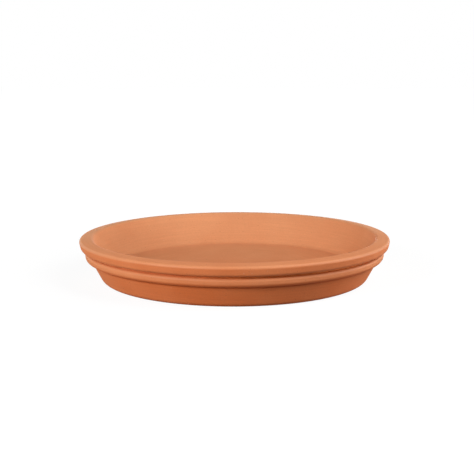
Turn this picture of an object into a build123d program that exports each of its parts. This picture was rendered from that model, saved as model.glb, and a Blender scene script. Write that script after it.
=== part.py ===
"""Clay plant saucer: a shallow round dish that stands under a flower pot and catches its water.

The whole dish is one piece of fired clay, so it is one solid of revolution about +Z, in millimetres.
Its outside has a crowned lip, a groove, a half-round bead and a plain tapered wall. Its underside is
dished, which leaves a foot ring. The origin is the middle of the foot ring, on the surface that the
saucer stands on.
"""

import os
from math import cos, radians, sin, tan

from build123d import *

# Overall sizes
RIM_DIAMETER = 250.0  # across the lip, the widest place
HEIGHT = 35.0  # from the table to the crest of the lip

# Lip
LIP_WIDTH = 10.5  # from the inner wall's edge to the widest place, along the top
LIP_HEIGHT = 8.4  # from the crest to the lower edge of the lip's outer face
LIP_FALL = 7.0  # degrees that the top slopes down, outwards
LIP_LEAN = 13.0  # degrees that the outer face draws in, downwards
LIP_UNDERCUT = 13.5  # degrees that the underside slopes down, inwards
LIP_CREST_RADIUS = 2.8
LIP_SHOULDER_RADIUS = 2.1
LIP_UNDER_RADIUS = 3.1

# Groove between the lip and the bead
GROOVE_DEPTH = 2.9  # behind the bead's face
GROOVE_WIDTH = 0.8
GROOVE_RADIUS = 0.35

# Bead
BEAD_INSET = 4.3  # behind the widest place
BEAD_HEIGHT = 5.6
BEAD_FALL = 12.0  # degrees that its top slopes down, outwards
BEAD_LEAN = 6.0  # degrees that its face draws in, downwards
BEAD_UNDERCUT = 15.5  # degrees that its underside slopes down, inwards
BEAD_UPPER_RADIUS = 2.2
BEAD_LOWER_RADIUS = 3.2

# Wall
STEP_DEPTH = 4.8  # from the bead's lower edge in to the wall
STEP_RADIUS = 1.0  # where the wall meets the bead's underside
WALL_LEAN = 28.0  # degrees of the outside from the vertical
INNER_LEAN = 29.0  # degrees of the inside from the vertical

# Floor and foot
FLOOR_THICKNESS = 9.6  # from the table to the floor
FLOOR_FILLET = 5.5
BASE_RADIUS = 6.4  # rounding where the wall meets the foot
FOOT_WIDTH = 18.0  # from the wall's lower corner to the dished underside
RECESS_DEPTH = 2.2  # of the dished underside
RECESS_RADIUS = 1.2


def slope(degrees):
    """Offset of a line from its axis for each millimetre along the axis."""
    return tan(radians(degrees))


def overhang(rounding, before, after):
    """How far a sharp corner stands out past its rounding, from the leans of the lines beside it."""
    before, after = radians(before), radians(after)
    return rounding * ((cos(before) + sin(after)) / cos(before - after) - 1)


def inside_corners():
    """Corners (radius, height, rounding) from the floor up to the lip's inner edge."""
    edge_radius = RIM_DIAMETER / 2 - LIP_WIDTH
    edge_height = HEIGHT + overhang(LIP_CREST_RADIUS, INNER_LEAN, LIP_FALL)
    floor_radius = edge_radius - (edge_height - FLOOR_THICKNESS) * slope(INNER_LEAN)
    return [
        (floor_radius, FLOOR_THICKNESS, FLOOR_FILLET),
        (edge_radius, edge_height, LIP_CREST_RADIUS),
    ]


def lip_corners(inner_edge):
    """Corners of the lip's shoulder and of its lower edge."""
    shoulder_radius = RIM_DIAMETER / 2 + overhang(LIP_SHOULDER_RADIUS, LIP_FALL, LIP_LEAN)
    shoulder_height = inner_edge[1] - (shoulder_radius - inner_edge[0]) * slope(LIP_FALL)
    edge_height = HEIGHT - LIP_HEIGHT
    edge_radius = shoulder_radius - (shoulder_height - edge_height) * slope(LIP_LEAN)
    return [
        (shoulder_radius, shoulder_height, LIP_SHOULDER_RADIUS),
        (edge_radius, edge_height, LIP_UNDER_RADIUS),
    ]


def bead_corners(lip_edge):
    """Corners of the groove under the lip and of the bead below it."""
    bead_radius = RIM_DIAMETER / 2 - BEAD_INSET
    groove_radius = bead_radius - GROOVE_DEPTH
    groove_top = lip_edge[1] - (lip_edge[0] - groove_radius) * slope(LIP_UNDERCUT)
    groove_foot = groove_top - GROOVE_WIDTH
    bead_top = groove_foot - GROOVE_DEPTH * slope(BEAD_FALL)
    bead_foot_radius = bead_radius - BEAD_HEIGHT * slope(BEAD_LEAN)
    return [
        (groove_radius, groove_top, GROOVE_RADIUS),
        (groove_radius, groove_foot, GROOVE_RADIUS),
        (bead_radius, bead_top, BEAD_UPPER_RADIUS),
        (bead_foot_radius, bead_top - BEAD_HEIGHT, BEAD_LOWER_RADIUS),
    ]


def wall_corners(bead_foot):
    """Corners of the outer wall and the foot, from the step under the bead to the dished underside."""
    step_radius = bead_foot[0] - STEP_DEPTH
    step_height = bead_foot[1] - STEP_DEPTH * slope(BEAD_UNDERCUT)
    foot_radius = step_radius - step_height * slope(WALL_LEAN)
    recess_radius = foot_radius - FOOT_WIDTH
    return [
        (step_radius, step_height, STEP_RADIUS),
        (foot_radius, 0, BASE_RADIUS),
        (recess_radius, 0, RECESS_RADIUS),
        (recess_radius - RECESS_DEPTH, RECESS_DEPTH, RECESS_RADIUS),
    ]


def section():
    """Half section of the saucer, from the axis along the floor, over the lip and back under the foot."""
    inside = inside_corners()
    lip = lip_corners(inside[-1])
    bead = bead_corners(lip[-1])
    corners = inside + lip + bead + wall_corners(bead[-1])
    path = [(0, FLOOR_THICKNESS), *[corner[:2] for corner in corners], (0, RECESS_DEPTH)]
    outline = FilletPolyline(*path, radius=[corner[2] for corner in corners])
    return Plane.XZ * make_face(outline.edges() + Line(path[-1], path[0]).edges())


def saucer():
    """The fired clay dish."""
    return revolve(section(), Axis.Z)


os.makedirs("parts", exist_ok=True)
export_step(saucer(), "parts/saucer.step")
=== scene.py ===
"""Looks of a fired clay plant saucer: its turned mesh, its terracotta and a white studio, in metres."""

import math
import random
from collections import namedtuple

import bpy
from mathutils import Matrix, Vector


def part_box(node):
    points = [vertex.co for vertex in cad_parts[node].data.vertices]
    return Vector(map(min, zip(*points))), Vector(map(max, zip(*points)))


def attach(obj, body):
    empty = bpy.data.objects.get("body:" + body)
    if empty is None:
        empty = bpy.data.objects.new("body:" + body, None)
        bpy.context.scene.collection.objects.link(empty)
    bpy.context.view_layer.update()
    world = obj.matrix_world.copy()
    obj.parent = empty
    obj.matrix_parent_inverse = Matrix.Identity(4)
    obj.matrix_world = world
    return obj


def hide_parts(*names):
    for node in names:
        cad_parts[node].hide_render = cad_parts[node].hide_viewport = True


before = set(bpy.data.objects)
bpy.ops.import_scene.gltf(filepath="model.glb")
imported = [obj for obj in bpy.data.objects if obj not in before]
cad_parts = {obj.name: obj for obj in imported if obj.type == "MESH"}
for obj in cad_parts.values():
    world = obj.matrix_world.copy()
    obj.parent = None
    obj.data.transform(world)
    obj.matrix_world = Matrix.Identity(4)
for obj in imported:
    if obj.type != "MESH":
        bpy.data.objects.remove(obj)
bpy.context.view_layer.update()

# Overall sizes, from the frame
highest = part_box("saucer")[1]
RIM_RADIUS = highest.x
HEIGHT = highest.z

# Lip
LIP_WIDTH = 0.0105  # from the inner wall's edge to the widest place, along the top
LIP_HEIGHT = 0.0084  # from the crest to the lower edge of the lip's outer face
LIP_FALL = 7.0  # degrees that the top slopes down, outwards
LIP_LEAN = 13.0  # degrees that the outer face draws in, downwards
LIP_UNDERCUT = 13.5  # degrees that the underside slopes down, inwards
LIP_CREST_RADIUS = 0.0028
LIP_SHOULDER_RADIUS = 0.0021
LIP_UNDER_RADIUS = 0.0031

# Groove between the lip and the bead
GROOVE_DEPTH = 0.0029  # behind the bead's face
GROOVE_WIDTH = 0.0008
GROOVE_RADIUS = 0.00035

# Bead
BEAD_INSET = 0.0043  # behind the widest place
BEAD_HEIGHT = 0.0056
BEAD_FALL = 12.0  # degrees that its top slopes down, outwards
BEAD_LEAN = 6.0  # degrees that its face draws in, downwards
BEAD_UNDERCUT = 15.5  # degrees that its underside slopes down, inwards
BEAD_UPPER_RADIUS = 0.0022
BEAD_LOWER_RADIUS = 0.0032

# Wall, floor and foot
STEP_DEPTH = 0.0048  # from the bead's lower edge in to the wall
STEP_RADIUS = 0.001  # where the wall meets the bead's underside
WALL_LEAN = 28.0  # degrees of the outside from the vertical
INNER_LEAN = 29.0  # degrees of the inside from the vertical
FLOOR_THICKNESS = 0.0096  # from the table to the floor
FLOOR_FILLET = 0.0055
BASE_RADIUS = 0.0064  # rounding where the wall meets the foot
FOOT_WIDTH = 0.018  # from the wall's lower corner to the dished underside
RECESS_DEPTH = 0.0022  # of the dished underside
RECESS_RADIUS = 0.0012

# How pale each stretch of the clay is, from 0, the deep colour, to 1, the pale one; partly painted light
# and shade, with the stretches in the most light set paler and those in shade deeper
PALE_FLOOR = 0.54
PALE_INSIDE = 0.71
PALE_TOP = 0.88
PALE_FACE = 0.5
PALE_GROOVE = 0.45
PALE_BEAD = 0.72
PALE_UNDER_BEAD = 0.05
PALE_WALL = 0.34
PALE_FOOT = 0.4

# How worn the mouldings' outer edges are, from 0 to 1, how much smoother that makes them, and how much
# paler they are painted as a highlight
LIP_WEAR_AND_HIGHLIGHT = 1.0
BEAD_WEAR_AND_HIGHLIGHT = 0.9
PAINTED_HIGHLIGHT_PALENESS = 0.27
WEAR_SMOOTHNESS = 0.43

# Painted shade in the creases, from 0 to 1, and painted light in the groove
BEAD_SHADE = 0.4
STEP_SHADE = 1.0
FOOT_SHADE = 0.4
GROOVE_PAINTED_LIGHT = 0.7
CREASE_REACH = 0.0012  # how far the painted shade and the groove's painted light spread along the section

# Mesh
ROUND_STEPS = 256  # around the axis
ARC_STEP = math.radians(9)
ARC_LEAST_STEPS = 3
RUN_STEP = 0.0009
UNDERSIDE_STEP = 0.003

# Lines that turning leaves in the clay
LINE_DEPTH = 0.00003
LINE_SPACINGS = (0.0032, 0.0095)
LINE_WAVES = 6
LINE_SEED = 11

# A sharp corner of the section with its rounding, and a place along the rounded section
# After its paleness, a corner holds how worn its edge is, which also paints a highlight, then its painted
# shade and its painted light in the groove
Corner = namedtuple("Corner", "radius height rounding paleness wear shade dust", defaults=(0, 0, 0))
Station = namedtuple("Station", "radius height along paleness wear shade dust")
POINT_VALUES = ("along", "paleness", "wear", "shade", "dust")  # what the mesh's points tell the clay


def slope(degrees):
    """Offset of a line from its axis for each metre along the axis."""
    return math.tan(math.radians(degrees))


def overhang(rounding, before, after):
    """How far a sharp corner stands out past its rounding, from the leans of the lines beside it."""
    before, after = math.radians(before), math.radians(after)
    return rounding * ((math.cos(before) + math.sin(after)) / math.cos(before - after) - 1)


def inside_corners():
    """Corners from the floor up to the lip's inner edge."""
    edge_radius = RIM_RADIUS - LIP_WIDTH
    edge_height = HEIGHT + overhang(LIP_CREST_RADIUS, INNER_LEAN, LIP_FALL)
    floor_radius = edge_radius - (edge_height - FLOOR_THICKNESS) * slope(INNER_LEAN)
    return [
        Corner(floor_radius, FLOOR_THICKNESS, FLOOR_FILLET, PALE_INSIDE),
        Corner(edge_radius, edge_height, LIP_CREST_RADIUS, PALE_TOP),
    ]


def lip_corners(inner_edge):
    """Corners of the lip's shoulder and of its lower edge."""
    shoulder_radius = RIM_RADIUS + overhang(LIP_SHOULDER_RADIUS, LIP_FALL, LIP_LEAN)
    shoulder_height = inner_edge.height - (shoulder_radius - inner_edge.radius) * slope(LIP_FALL)
    edge_height = HEIGHT - LIP_HEIGHT
    edge_radius = shoulder_radius - (shoulder_height - edge_height) * slope(LIP_LEAN)
    return [
        Corner(shoulder_radius, shoulder_height, LIP_SHOULDER_RADIUS, PALE_FACE, wear=LIP_WEAR_AND_HIGHLIGHT),
        Corner(edge_radius, edge_height, LIP_UNDER_RADIUS, PALE_GROOVE),
    ]


def bead_corners(lip_edge):
    """Corners of the groove under the lip and of the bead below it."""
    bead_radius = RIM_RADIUS - BEAD_INSET
    groove_radius = bead_radius - GROOVE_DEPTH
    groove_top = lip_edge.height - (lip_edge.radius - groove_radius) * slope(LIP_UNDERCUT)
    groove_foot = groove_top - GROOVE_WIDTH
    bead_top = groove_foot - GROOVE_DEPTH * slope(BEAD_FALL)
    bead_foot = bead_top - BEAD_HEIGHT
    bead_foot_radius = bead_radius - BEAD_HEIGHT * slope(BEAD_LEAN)
    return [
        Corner(groove_radius, groove_top, GROOVE_RADIUS, PALE_GROOVE, dust=GROOVE_PAINTED_LIGHT),
        Corner(groove_radius, groove_foot, GROOVE_RADIUS, PALE_GROOVE, dust=GROOVE_PAINTED_LIGHT),
        Corner(bead_radius, bead_top, BEAD_UPPER_RADIUS, PALE_BEAD, wear=BEAD_WEAR_AND_HIGHLIGHT),
        Corner(bead_foot_radius, bead_foot, BEAD_LOWER_RADIUS, PALE_UNDER_BEAD, shade=BEAD_SHADE),
    ]


def wall_corners(bead_foot):
    """Corners of the outer wall and the foot, from the step under the bead to the dished underside."""
    step_radius = bead_foot.radius - STEP_DEPTH
    step_height = bead_foot.height - STEP_DEPTH * slope(BEAD_UNDERCUT)
    foot_radius = step_radius - step_height * slope(WALL_LEAN)
    recess_radius = foot_radius - FOOT_WIDTH
    return [
        Corner(step_radius, step_height, STEP_RADIUS, PALE_WALL, shade=STEP_SHADE),
        Corner(foot_radius, 0, BASE_RADIUS, PALE_FOOT, shade=FOOT_SHADE),
        Corner(recess_radius, 0, RECESS_RADIUS, PALE_FOOT),
        Corner(recess_radius - RECESS_DEPTH, RECESS_DEPTH, RECESS_RADIUS, PALE_FOOT),
    ]


def section_corners():
    """Corners of the whole section, from the floor's middle over the lip to the underside's middle."""
    inside = inside_corners()
    lip = lip_corners(inside[-1])
    bead = bead_corners(lip[-1])
    first = Corner(0, FLOOR_THICKNESS, 0, PALE_FLOOR)
    last = Corner(0, RECESS_DEPTH, 0, PALE_FOOT)
    return [first, *inside, *lip, *bead, *wall_corners(bead[-1]), last]


def place_of(corner):
    """A corner's place in the section's plane."""
    return Vector((corner.radius, corner.height))


def arc_points(before, corner, after):
    """Points of the rounding at a corner, from the run before it to the run after it."""
    here = place_of(corner)
    back = (place_of(before) - here).normalized()
    ahead = (place_of(after) - here).normalized()
    half_angle = back.angle(ahead) / 2
    reach = corner.rounding / math.tan(half_angle)
    centre = here + (back + ahead).normalized() * corner.rounding / math.sin(half_angle)
    start = here + back * reach - centre
    end = here + ahead * reach - centre
    turn = start.angle_signed(end)
    count = max(ARC_LEAST_STEPS, math.ceil(abs(turn) / ARC_STEP))
    return [centre + Matrix.Rotation(-turn * k / count, 2) @ start for k in range(count + 1)]


def run_points(start, end, step):
    """Points between the ends of a straight run, without the ends."""
    count = max(1, math.ceil((end - start).length / step))
    return [start.lerp(end, k / count) for k in range(1, count)]


def section_points(corners):
    """The rounded section as rows of a point, its paleness and its share of worn edge and painted
    highlight, and the row of each corner's middle.
    """
    rows, middles = [], []
    here = place_of(corners[0])
    for before, corner, after in zip(corners, corners[1:], corners[2:]):
        arc = arc_points(before, corner, after)
        under_foot = before.height <= 0 and corner.height <= RECESS_DEPTH
        step = UNDERSIDE_STEP if under_foot else RUN_STEP
        rows += [(point, before.paleness, 0) for point in run_points(here, arc[0], step)]
        for k, point in enumerate(arc):
            share = k / (len(arc) - 1)
            paleness = before.paleness + share * (corner.paleness - before.paleness)
            rows.append((point, paleness, corner.wear * math.sin(math.pi * share)))
        middles.append(len(rows) - 1 - len(arc) // 2)
        here = arc[-1]
    end = place_of(corners[-1])
    rows += [(point, corners[-1].paleness, 0) for point in run_points(here, end, UNDERSIDE_STEP)]
    return rows, middles


def stations():
    """The section's stations, each with its way along the section and the clay's state there."""
    corners = section_corners()
    rows, middles = section_points(corners)
    points = [row[0] for row in rows]
    along = [points[0].x]
    for previous, point in zip(points, points[1:]):
        along.append(along[-1] + (point - previous).length)
    creases = [(along[i], corner) for i, corner in zip(middles, corners[1:])]
    found = []
    for (point, paleness, wear), way in zip(rows, along):
        # Painted shade at the creases and painted light in the groove, fading away from each corner's
        # middle
        near = [(math.exp(-((way - middle) / CREASE_REACH) ** 2), corner) for middle, corner in creases]
        shade = max(share * corner.shade for share, corner in near)
        dust = max(share * corner.dust for share, corner in near)
        # Worn edges are made paler, as a painted highlight
        paleness += PAINTED_HIGHLIGHT_PALENESS * wear
        found.append(Station(point.x, point.y, way, paleness, wear, shade, dust))
    return found


def turning_depths(profile):
    """How deep the turning lines are at each station, from 0 to their full depth."""
    draw = random.Random(LINE_SEED)
    waves = [(draw.uniform(*LINE_SPACINGS), draw.uniform(0, 2 * math.pi)) for _ in range(LINE_WAVES)]
    depths = []
    for station in profile:
        lines = [math.sin(2 * math.pi * station.along / spacing + phase) for spacing, phase in waves]
        depths.append(LINE_DEPTH * (0.5 + 0.5 * sum(lines) / LINE_WAVES))
    return depths


def sunk(profile, depths):
    """The profile's (radius, height) places, each moved into the clay by its depth."""
    places = [Vector((s.radius, s.height)) for s in profile]
    moved = []
    for k, (place, depth) in enumerate(zip(places, depths)):
        way = places[min(k + 1, len(places) - 1)] - places[max(k - 1, 0)]
        inwards = Vector((way.y, -way.x)).normalized()
        moved.append(place + inwards * depth)
    return moved


def turned_faces(rings):
    """Faces between the rings of points, and the two fans that close the first ring and the last one."""
    last, top = (rings - 1) * ROUND_STEPS, rings * ROUND_STEPS
    bottom = top + 1
    faces = []
    for ring in range(rings - 1):
        here, there = ring * ROUND_STEPS, (ring + 1) * ROUND_STEPS
        for k in range(ROUND_STEPS):
            following = (k + 1) % ROUND_STEPS
            faces.append((here + k, there + k, there + following, here + following))
    for k in range(ROUND_STEPS):
        following = (k + 1) % ROUND_STEPS
        faces.append((top, k, following))
        faces.append((bottom, last + following, last + k))
    return faces


def turned_mesh(name, profile):
    """The section turned about the axis, closed at both ends, with the stations' values on its points."""
    turns = [2 * math.pi * k / ROUND_STEPS for k in range(ROUND_STEPS)]
    circle = [(math.cos(t), math.sin(t)) for t in turns]
    places = sunk(profile, turning_depths(profile))
    points = [(p.x * c, p.x * s, p.y) for p in places for c, s in circle]
    points += [(0, 0, places[0].y), (0, 0, places[-1].y)]
    mesh = bpy.data.meshes.new(name)
    mesh.from_pydata(points, [], turned_faces(len(profile)))
    mesh.shade_smooth()
    ends = [profile[0], profile[-1]]
    for field in POINT_VALUES:
        values = [getattr(s, field) for s in profile for _ in turns] + [getattr(s, field) for s in ends]
        mesh.attributes.new(field, "FLOAT", "POINT").data.foreach_set("value", values)
    return mesh


# Clay colours
DEEP_CLAY = (0.61, 0.150, 0.040, 1)
PALE_CLAY = (0.63, 0.270, 0.123, 1)
# Painted shade, mixed into the creases
CREASE_SHADE_COLOUR = (0.41, 0.067, 0.007, 1)
# Painted light, mixed into the groove
GROOVE_LIGHT_COLOUR = (0.84, 0.29, 0.065, 1)
IRON_COLOUR = (0.26, 0.085, 0.035, 1)
LIME_COLOUR = (0.72, 0.42, 0.26, 1)
# How far the creases' painted shade goes towards its colour
CREASE_STRENGTH = 0.95
IRON_STRENGTH = 0.7
LIME_STRENGTH = 0.25

# Clay finish
CLAY_SPECULAR = 0.25
CLAY_MATTNESS = 0.1  # how much the clay evens out its shading, as rough surfaces do
ROUGHNESS_RANGE = (0.84, 0.95)
STREAK_RELIEF = 0.00004
GRAIN_RELIEF = 0.00007
PORE_RELIEF = 0.00012

# Noises of the clay
BLOTCH_SIZE = 0.045
GRAIN_SIZE = 0.0011
CLAY_DETAIL = 3  # steps of finer noise in the blotches and the grain
STREAK_WIDTH = 0.0011
STREAK_TURN = 2.6  # streaks' shortness around the axis
STREAK_DETAIL = 2
NOISE_MIDDLE = (0.3, 0.7)  # where most of a noise's values lie
NOISE_SPAN = (0.25, 0.75)  # where nearly all of them lie

# Changes of paleness, by the blotches, and painted light that makes the clay paler towards the back and
# deeper towards the front
BLOTCH_SPREAD = 0.2
PAINTED_LIGHT_SPREAD = 0.33
PAINTED_LIGHT_AZIMUTH = math.radians(189)  # from the camera's side towards the right

# Changes of brightness
BLOTCH_CHANGE = 0.07
STREAK_CHANGE = 0.07
GRAIN_CHANGE = 0.10

# The side where the groove gets painted light
GROOVE_LIGHT_AZIMUTH = math.radians(30)
GROOVE_LIGHT_SPREAD = (0.6, 0.95)  # from no painted light in the groove to all of it, across the saucer

# Grains and pores lie in cells: the cells' spacing, the share of them that holds one, its size in
# the cell, and how far the cells are moved aside, so that two kinds don't fall together
Specks = namedtuple("Specks", "spacing share size aside")
IRON_GRAINS = Specks(0.0034, 0.35, 0.10, 0)
LIME_GRAINS = Specks(0.00578, 0.3, 0.09, 1)
PORES = Specks(0.0034, 0.5, 0.12, 2)
SPECK_CORE = 0.6  # share of a speck's size where its soft edge ends


def add(tree, kind, settings, inputs):
    """A new node, with its settings, and its inputs set to values or linked to sockets."""
    node = tree.nodes.new("ShaderNode" + kind)
    for name, value in settings.items():
        setattr(node, name, value)
    for name, value in inputs.items():
        if isinstance(value, bpy.types.NodeSocket):
            tree.links.new(value, node.inputs[name])
        else:
            node.inputs[name].default_value = value
    return node


def math_of(tree, operation, first, second):
    """A number worked out from two others."""
    return add(tree, "Math", {"operation": operation}, {0: first, 1: second}).outputs[0]


def vector_of(tree, operation, first, second=(0, 0, 0)):
    """A vector worked out from one or two others."""
    return add(tree, "VectorMath", {"operation": operation}, {0: first, 1: second}).outputs[0]


def mapped(tree, value, old, new):
    """A number moved from one range to another, and kept within it."""
    ranges = {"From Min": old[0], "From Max": old[1], "To Min": new[0], "To Max": new[1]}
    return add(tree, "MapRange", {}, {"Value": value, **ranges}).outputs["Result"]


def mixed(tree, share, first, second):
    """A colour between two others."""
    node = add(tree, "Mix", {"data_type": "RGBA"}, {0: share, 6: first, 7: second})
    return node.outputs[2]


def noise(tree, place, size, detail):
    """Even noise from 0 to 1 whose features have about this size."""
    inputs = {"Vector": place, "Scale": 1 / size, "Detail": detail}
    return add(tree, "TexNoise", {}, inputs).outputs[0]


def point_value(tree, name):
    """A value that the mesh holds on its points."""
    return add(tree, "Attribute", {"attribute_name": name}, {}).outputs["Fac"]


def streaks(tree, place):
    """Noise drawn out around the axis, as a turning tool leaves it."""
    outwards = vector_of(tree, "NORMALIZE", vector_of(tree, "MULTIPLY", place, (1, 1, 0)))
    around = vector_of(tree, "MULTIPLY", outwards, (STREAK_TURN, STREAK_TURN, 0))
    along = math_of(tree, "DIVIDE", point_value(tree, "along"), STREAK_WIDTH)
    across = add(tree, "CombineXYZ", {}, {"Z": along}).outputs[0]
    return noise(tree, vector_of(tree, "ADD", around, across), 1.0, STREAK_DETAIL)


def specks(tree, place, kind):
    """Small round grains or pores: 1 inside one, 0 outside."""
    aside = vector_of(tree, "ADD", place, (kind.aside, kind.aside, kind.aside))
    cells = add(tree, "TexVoronoi", {}, {"Vector": aside, "Scale": 1 / kind.spacing})
    inside = mapped(tree, cells.outputs["Distance"], (kind.size, kind.size * SPECK_CORE), (0, 1))
    pick = add(tree, "SeparateColor", {}, {"Color": cells.outputs["Color"]}).outputs[0]
    chosen = math_of(tree, "LESS_THAN", pick, kind.share)
    return math_of(tree, "MULTIPLY", inside, chosen)


def side(tree, place, azimuth):
    """How far a place lies towards that side: 1 at the rim there, and -1 at the rim across from it."""
    towards = (math.sin(azimuth) / RIM_RADIUS, -math.cos(azimuth) / RIM_RADIUS, 0)
    return add(tree, "VectorMath", {"operation": "DOT_PRODUCT"}, {0: place, 1: towards}).outputs["Value"]


def clay_paleness(tree, place, blotches):
    """The mesh's paleness, which is partly painted light and shade, changed by the blotches and made
    paler towards the back as painted light.
    """
    drift = mapped(tree, blotches, NOISE_MIDDLE, (-BLOTCH_SPREAD / 2, BLOTCH_SPREAD / 2))
    painted_light = math_of(tree, "MULTIPLY", side(tree, place, PAINTED_LIGHT_AZIMUTH), PAINTED_LIGHT_SPREAD)
    drift = math_of(tree, "ADD", drift, painted_light)
    return math_of(tree, "ADD", point_value(tree, "paleness"), drift)


def with_brightness(tree, colour, changes):
    """A colour made lighter and darker by some noises, each with its change of brightness."""
    brightness = 1.0
    for source, change in changes:
        step = mapped(tree, source, NOISE_SPAN, (-change / 2, change / 2))
        brightness = math_of(tree, "ADD", step, brightness)
    return add(tree, "HueSaturation", {}, {"Value": brightness, "Color": colour}).outputs[0]


def with_grains(tree, colour, place):
    """A colour with dark iron grains and pale lime grains."""
    iron = math_of(tree, "MULTIPLY", specks(tree, place, IRON_GRAINS), IRON_STRENGTH)
    lime = math_of(tree, "MULTIPLY", specks(tree, place, LIME_GRAINS), LIME_STRENGTH)
    return mixed(tree, lime, mixed(tree, iron, colour, IRON_COLOUR), LIME_COLOUR)


def with_creases(tree, colour, place):
    """A colour with painted light in the groove and painted shade in the creases."""
    groove_light_side = mapped(tree, side(tree, place, GROOVE_LIGHT_AZIMUTH), GROOVE_LIGHT_SPREAD, (0, 1))
    dust = math_of(tree, "MULTIPLY", point_value(tree, "dust"), groove_light_side)
    dark = math_of(tree, "MULTIPLY", point_value(tree, "shade"), CREASE_STRENGTH)
    return mixed(tree, dark, mixed(tree, dust, colour, GROOVE_LIGHT_COLOUR), CREASE_SHADE_COLOUR)


def clay_colour(tree, place, blotches, grain, lines):
    """Clay from deep to pale, blotched and streaked, with grains, painted light in the groove and painted
    shade in the creases.
    """
    colour = mixed(tree, clay_paleness(tree, place, blotches), DEEP_CLAY, PALE_CLAY)
    changes = [(blotches, BLOTCH_CHANGE), (lines, STREAK_CHANGE), (grain, GRAIN_CHANGE)]
    colour = with_brightness(tree, colour, changes)
    colour = with_grains(tree, colour, place)
    return with_creases(tree, colour, place)


def clay_relief(tree, place, grain, lines):
    """Fine relief of the clay: turning streaks, grain and pores."""
    pores = specks(tree, place, PORES)
    layers = [(lines, STREAK_RELIEF, False), (grain, GRAIN_RELIEF, False), (pores, PORE_RELIEF, True)]
    relief = None
    for height, depth, sunken in layers:
        inputs = {"Height": height, "Distance": depth, "Strength": 1.0}
        if relief:
            inputs["Normal"] = relief
        relief = add(tree, "Bump", {"invert": sunken}, inputs).outputs[0]
    return relief


def clay_roughness(tree, grain):
    """Roughness that follows the grain, and is lower where the mouldings are worn."""
    rough = mapped(tree, grain, NOISE_MIDDLE, ROUGHNESS_RANGE)
    smoothness = math_of(tree, "MULTIPLY", point_value(tree, "wear"), WEAR_SMOOTHNESS)
    return math_of(tree, "SUBTRACT", rough, smoothness)


def terracotta():
    """Matt fired clay."""
    material = bpy.data.materials.new("terracotta")
    material.use_nodes = True
    tree = material.node_tree
    place = add(tree, "TexCoord", {}, {}).outputs["Object"]
    blotches = noise(tree, place, BLOTCH_SIZE, CLAY_DETAIL)
    grain = noise(tree, place, GRAIN_SIZE, CLAY_DETAIL)
    lines = streaks(tree, place)
    shader = tree.nodes["Principled BSDF"]
    shader.inputs["Specular IOR Level"].default_value = CLAY_SPECULAR
    shader.inputs["Diffuse Roughness"].default_value = CLAY_MATTNESS
    tree.links.new(clay_colour(tree, place, blotches, grain, lines), shader.inputs["Base Color"])
    tree.links.new(clay_roughness(tree, grain), shader.inputs["Roughness"])
    tree.links.new(clay_relief(tree, place, grain, lines), shader.inputs["Normal"])
    return material


def make_saucer():
    """The saucer's visible piece, in place of the frame's plain solid."""
    mesh = turned_mesh("saucer_clay", stations())
    mesh.materials.append(terracotta())
    piece = bpy.data.objects.new("saucer_clay", mesh)
    bpy.context.scene.collection.objects.link(piece)
    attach(piece, "root")
    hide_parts("saucer")


# Studio
STUDIO_HALF = 3.0
WHITE = (1, 1, 1, 1)
FLOOR_BOUNCE = (0.3, 0.3, 0.3, 1)  # what the floor sends back to the clay
FLOOR_WHITE = 0.92  # what the camera sees of the floor beside the saucer, before its lit share
FLOOR_LIT = (0.11, 0.11, 0.11, 1)  # the lit share, which holds the shadow
SHADOW_FADE = (0.2, 0.5)  # from the axis, where the shadow begins to fade and where it is gone
AIM = Vector((0, 0, 0.02))
LAMP_DISTANCE = 1.6

# Soft boxes, with their degrees from the camera's side towards the right and above the floor
Lamp = namedtuple("Lamp", "name azimuth elevation width height watts")
LAMPS = [
    Lamp("strip_right", 100, 3.5, 1.3, 0.14, 4.8),
    Lamp("strip_back", 180, 3.5, 0.7, 0.14, 7.0),
    Lamp("back", 185, 14, 0.6, 0.5, 1.5),
    Lamp("left_low", 303, 9.5, 0.6, 0.5, 5.7),
    Lamp("left_mid", 317, 21, 0.6, 0.6, 18.7),
    Lamp("right_low", 90, 11, 0.6, 0.5, 7.8),
    Lamp("right_high", 88, 37, 0.6, 0.6, 6.2),
    Lamp("front_right", 45, 36, 0.6, 0.6, 7.5),
    Lamp("high_right", 60, 56, 0.6, 0.6, 5.0),
]


def camera_sees(tree):
    """1 for what the camera sees, straight or in a reflection or through glass, and 0 for other rays."""
    path = add(tree, "LightPath", {}, {})
    seen = math_of(tree, "MAXIMUM", path.outputs["Is Camera Ray"], path.outputs["Is Glossy Ray"])
    return math_of(tree, "MAXIMUM", seen, path.outputs["Is Transmission Ray"])


def floor_material():
    """White to the camera with a faint shadow, grey to the light, and clear from below."""
    material = bpy.data.materials.new("studio_floor")
    material.use_nodes = True
    tree = material.node_tree
    tree.nodes.clear()
    bounce = add(tree, "BsdfDiffuse", {}, {"Color": FLOOR_BOUNCE}).outputs[0]
    place = add(tree, "TexCoord", {}, {}).outputs["Object"]
    distance = add(tree, "VectorMath", {"operation": "LENGTH"}, {0: place}).outputs["Value"]
    strength = mapped(tree, distance, SHADOW_FADE, (FLOOR_WHITE, 1))
    white = add(tree, "Emission", {}, {"Strength": strength}).outputs[0]
    lit = add(tree, "BsdfDiffuse", {}, {"Color": FLOOR_LIT}).outputs[0]
    shown = add(tree, "AddShader", {}, {0: white, 1: lit}).outputs[0]
    above = add(tree, "MixShader", {}, {0: camera_sees(tree), 1: bounce, 2: shown}).outputs[0]
    clear = add(tree, "BsdfTransparent", {}, {}).outputs[0]
    below = add(tree, "NewGeometry", {}, {}).outputs["Backfacing"]
    surface = add(tree, "MixShader", {}, {0: below, 1: above, 2: clear}).outputs[0]
    add(tree, "OutputMaterial", {}, {"Surface": surface})
    return material


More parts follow.
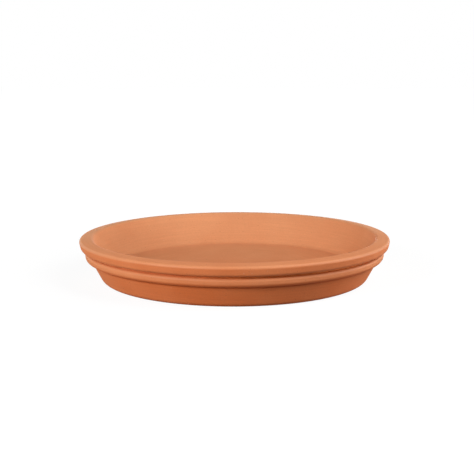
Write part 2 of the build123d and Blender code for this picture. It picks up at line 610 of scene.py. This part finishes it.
def make_floor():
    """A plain floor under the saucer."""
    half = STUDIO_HALF
    corners = [(-half, -half, 0), (half, -half, 0), (half, half, 0), (-half, half, 0)]
    mesh = bpy.data.meshes.new("studio_floor")
    mesh.from_pydata(corners, [], [(0, 1, 2, 3)])
    mesh.materials.append(floor_material())
    floor = bpy.data.objects.new("studio_floor", mesh)
    bpy.context.scene.collection.objects.link(floor)


def make_world():
    """White behind the saucer, with no light of its own."""
    world = bpy.data.worlds.new("studio")
    world.use_nodes = True
    tree = world.node_tree
    background = tree.nodes["Background"]
    background.inputs["Color"].default_value = WHITE
    tree.links.new(camera_sees(tree), background.inputs["Strength"])
    bpy.context.scene.world = world


def make_lamp(lamp):
    """A soft box that faces the saucer."""
    light = bpy.data.lights.new(lamp.name, "AREA")
    light.shape = "ELLIPSE"
    light.size = lamp.width
    light.size_y = lamp.height
    light.energy = lamp.watts
    box = bpy.data.objects.new(lamp.name, light)
    bpy.context.scene.collection.objects.link(box)
    turn, rise = math.radians(lamp.azimuth), math.radians(lamp.elevation)
    away = Vector((math.sin(turn) * math.cos(rise), -math.cos(turn) * math.cos(rise), math.sin(rise)))
    box.location = away * LAMP_DISTANCE
    box.rotation_mode = "QUATERNION"
    box.rotation_quaternion = (AIM - box.location).to_track_quat("-Z", "Y")


# Camera, from the photograph's frame
FRAME_PIXELS = 474
FOCAL_PIXELS = 1155.75
SHIFT_PIXELS = (2.5, -2.4)  # from what the camera aims at to the frame's middle, right and up
SENSOR_MILLIMETRES = 36.0
VIEW_DISTANCE = 0.9375  # from the middle of the rim, which the camera aims at
VIEW_ELEVATION = math.radians(10.05)
VIEW_ROLL = math.radians(-0.15)


def make_camera():
    """The camera at the photograph's angle."""
    data = bpy.data.cameras.new("camera")
    data.sensor_width = SENSOR_MILLIMETRES
    data.lens = FOCAL_PIXELS * SENSOR_MILLIMETRES / FRAME_PIXELS
    data.shift_x, data.shift_y = [pixels / FRAME_PIXELS for pixels in SHIFT_PIXELS]
    camera = bpy.data.objects.new("camera", data)
    bpy.context.scene.collection.objects.link(camera)
    away = Vector((0, -math.cos(VIEW_ELEVATION), math.sin(VIEW_ELEVATION)))
    camera.location = Vector((0, 0, HEIGHT)) + away * VIEW_DISTANCE
    camera.rotation_euler = (math.pi / 2 - VIEW_ELEVATION, 0, 0)
    camera.rotation_euler.rotate_axis("Z", VIEW_ROLL)
    bpy.context.scene.camera = camera


make_saucer()
make_floor()
make_world()
for lamp in LAMPS:
    make_lamp(lamp)
make_camera()
bpy.context.scene.view_settings.view_transform = "Standard"
